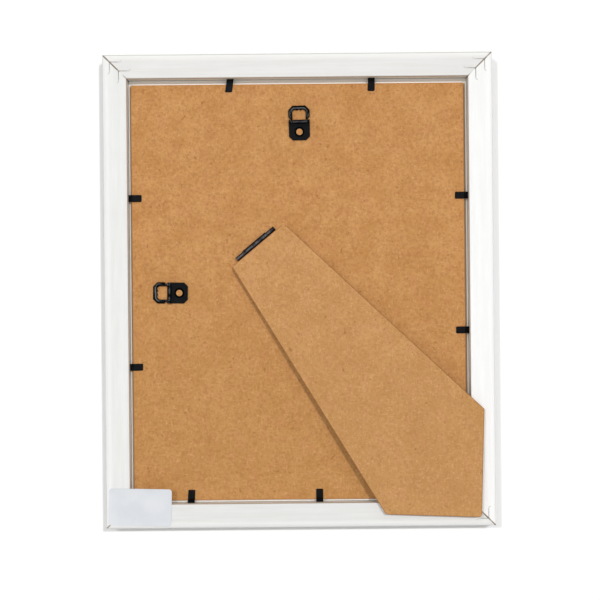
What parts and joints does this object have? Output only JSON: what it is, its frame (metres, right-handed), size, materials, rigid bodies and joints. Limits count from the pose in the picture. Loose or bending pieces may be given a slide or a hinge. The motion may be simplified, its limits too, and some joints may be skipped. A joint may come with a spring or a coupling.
{
  "type": "picture frame",
  "caption": "White mitred picture frame with hardboard back, folding easel strut, hinged strap hangers and bendable retaining tabs.",
  "frame": {"origin": "middle of the front face, on which the frame lies", "axes": "+Z from the front to the back, +Y up the picture, +X across it, to the right as seen from the back"},
  "size_m": [0.235, 0.2858, 0.023],
  "materials": {
    "white_rail": "white satin foil over fibreboard",
    "nail_steel": "bare steel strip",
    "clear_glass": "clear float glass",
    "mat_card": "smooth white mat board",
    "print_paper": "plain white paper",
    "hardboard": "smooth tempered hardboard",
    "strut_hardboard": "smooth tempered hardboard",
    "black_steel": "black lacquered steel",
    "hinge_steel": "black oxide steel, worn along the roll",
    "pin_steel": "drawn steel wire",
    "label_paper": "self-adhesive white paper"
  },
  "bodies": {
    "frame": {"rail_top": "white_rail", "rail_bottom": "white_rail", "rail_left": "white_rail", "rail_right": "white_rail", "corner_nails": "nail_steel", "glazing": "clear_glass", "mat_board": "mat_card", "print_sheet": "print_paper", "backing_board": "hardboard", "tab_roots": "black_steel", "hanger_strap_top": "black_steel", "hanger_strap_left": "black_steel", "hinge_leaf_board": "hinge_steel", "hinge_pin": "pin_steel", "paper_label": "label_paper"},
    "strut": {"strut_leg": "strut_hardboard", "hinge_leaf_strut": "hinge_steel"},
    "ring_top": {"hanger_ring_top": "black_steel"},
    "ring_left": {"hanger_ring_left": "black_steel"},
    "tab_top_left": {"tab_top_left": "black_steel"},
    "tab_top_right": {"tab_top_right": "black_steel"},
    "tab_right_upper": {"tab_right_upper": "black_steel"},
    "tab_right_lower": {"tab_right_lower": "black_steel"},
    "tab_bottom_left": {"tab_bottom_left": "black_steel"},
    "tab_bottom_right": {"tab_bottom_right": "black_steel"},
    "tab_left_upper": {"tab_left_upper": "black_steel"},
    "tab_left_lower": {"tab_left_lower": "black_steel"}
  },
  "joints": [
    {"name": "strut_fold", "type": "hinge", "parent": "frame", "child": "strut", "pos_m": [-0.0261, 0.0283, 0.01304], "axis": [-0.7711, -0.6367, 0], "range_deg": [0, 35]},
    {"name": "ring_top_flip", "type": "hinge", "parent": "frame", "child": "ring_top", "pos_m": [0.00099, 0.10185, 0.01299], "axis": [0.9998, 0.0192, 0], "range_deg": [0, 150]},
    {"name": "ring_left_flip", "type": "hinge", "parent": "frame", "child": "ring_left", "pos_m": [-0.07845, -0.00089, 0.01299], "axis": [0.0192, 0.9998, 0], "range_deg": [0, 150]},
    {"name": "tab_top_left_bend", "type": "hinge", "parent": "frame", "child": "tab_top_left", "pos_m": [-0.04054, 0.12803, 0.012], "axis": [-1, 0, 0], "range_deg": [0, 90]},
    {"name": "tab_top_right_bend", "type": "hinge", "parent": "frame", "child": "tab_top_right", "pos_m": [0.04497, 0.12803, 0.012], "axis": [-1, 0, 0], "range_deg": [0, 90]},
    {"name": "tab_right_upper_bend", "type": "hinge", "parent": "frame", "child": "tab_right_upper", "pos_m": [0.10263, 0.05671, 0.012], "axis": [0, 1, 0], "range_deg": [0, 90]},
    {"name": "tab_right_lower_bend", "type": "hinge", "parent": "frame", "child": "tab_right_lower", "pos_m": [0.10263, -0.02489, 0.012], "axis": [0, 1, 0], "range_deg": [0, 90]},
    {"name": "tab_bottom_left_bend", "type": "hinge", "parent": "frame", "child": "tab_bottom_left", "pos_m": [-0.06647, -0.12803, 0.012], "axis": [1, 0, 0], "range_deg": [0, 90]},
    {"name": "tab_bottom_right_bend", "type": "hinge", "parent": "frame", "child": "tab_bottom_right", "pos_m": [0.01132, -0.12803, 0.012], "axis": [1, 0, 0], "range_deg": [0, 90]},
    {"name": "tab_left_upper_bend", "type": "hinge", "parent": "frame", "child": "tab_left_upper", "pos_m": [-0.10263, 0.05645, 0.012], "axis": [0, -1, 0], "range_deg": [0, 90]},
    {"name": "tab_left_lower_bend", "type": "hinge", "parent": "frame", "child": "tab_left_lower", "pos_m": [-0.10263, -0.0458, 0.012], "axis": [0, -1, 0], "range_deg": [0, 90]}
  ]
}
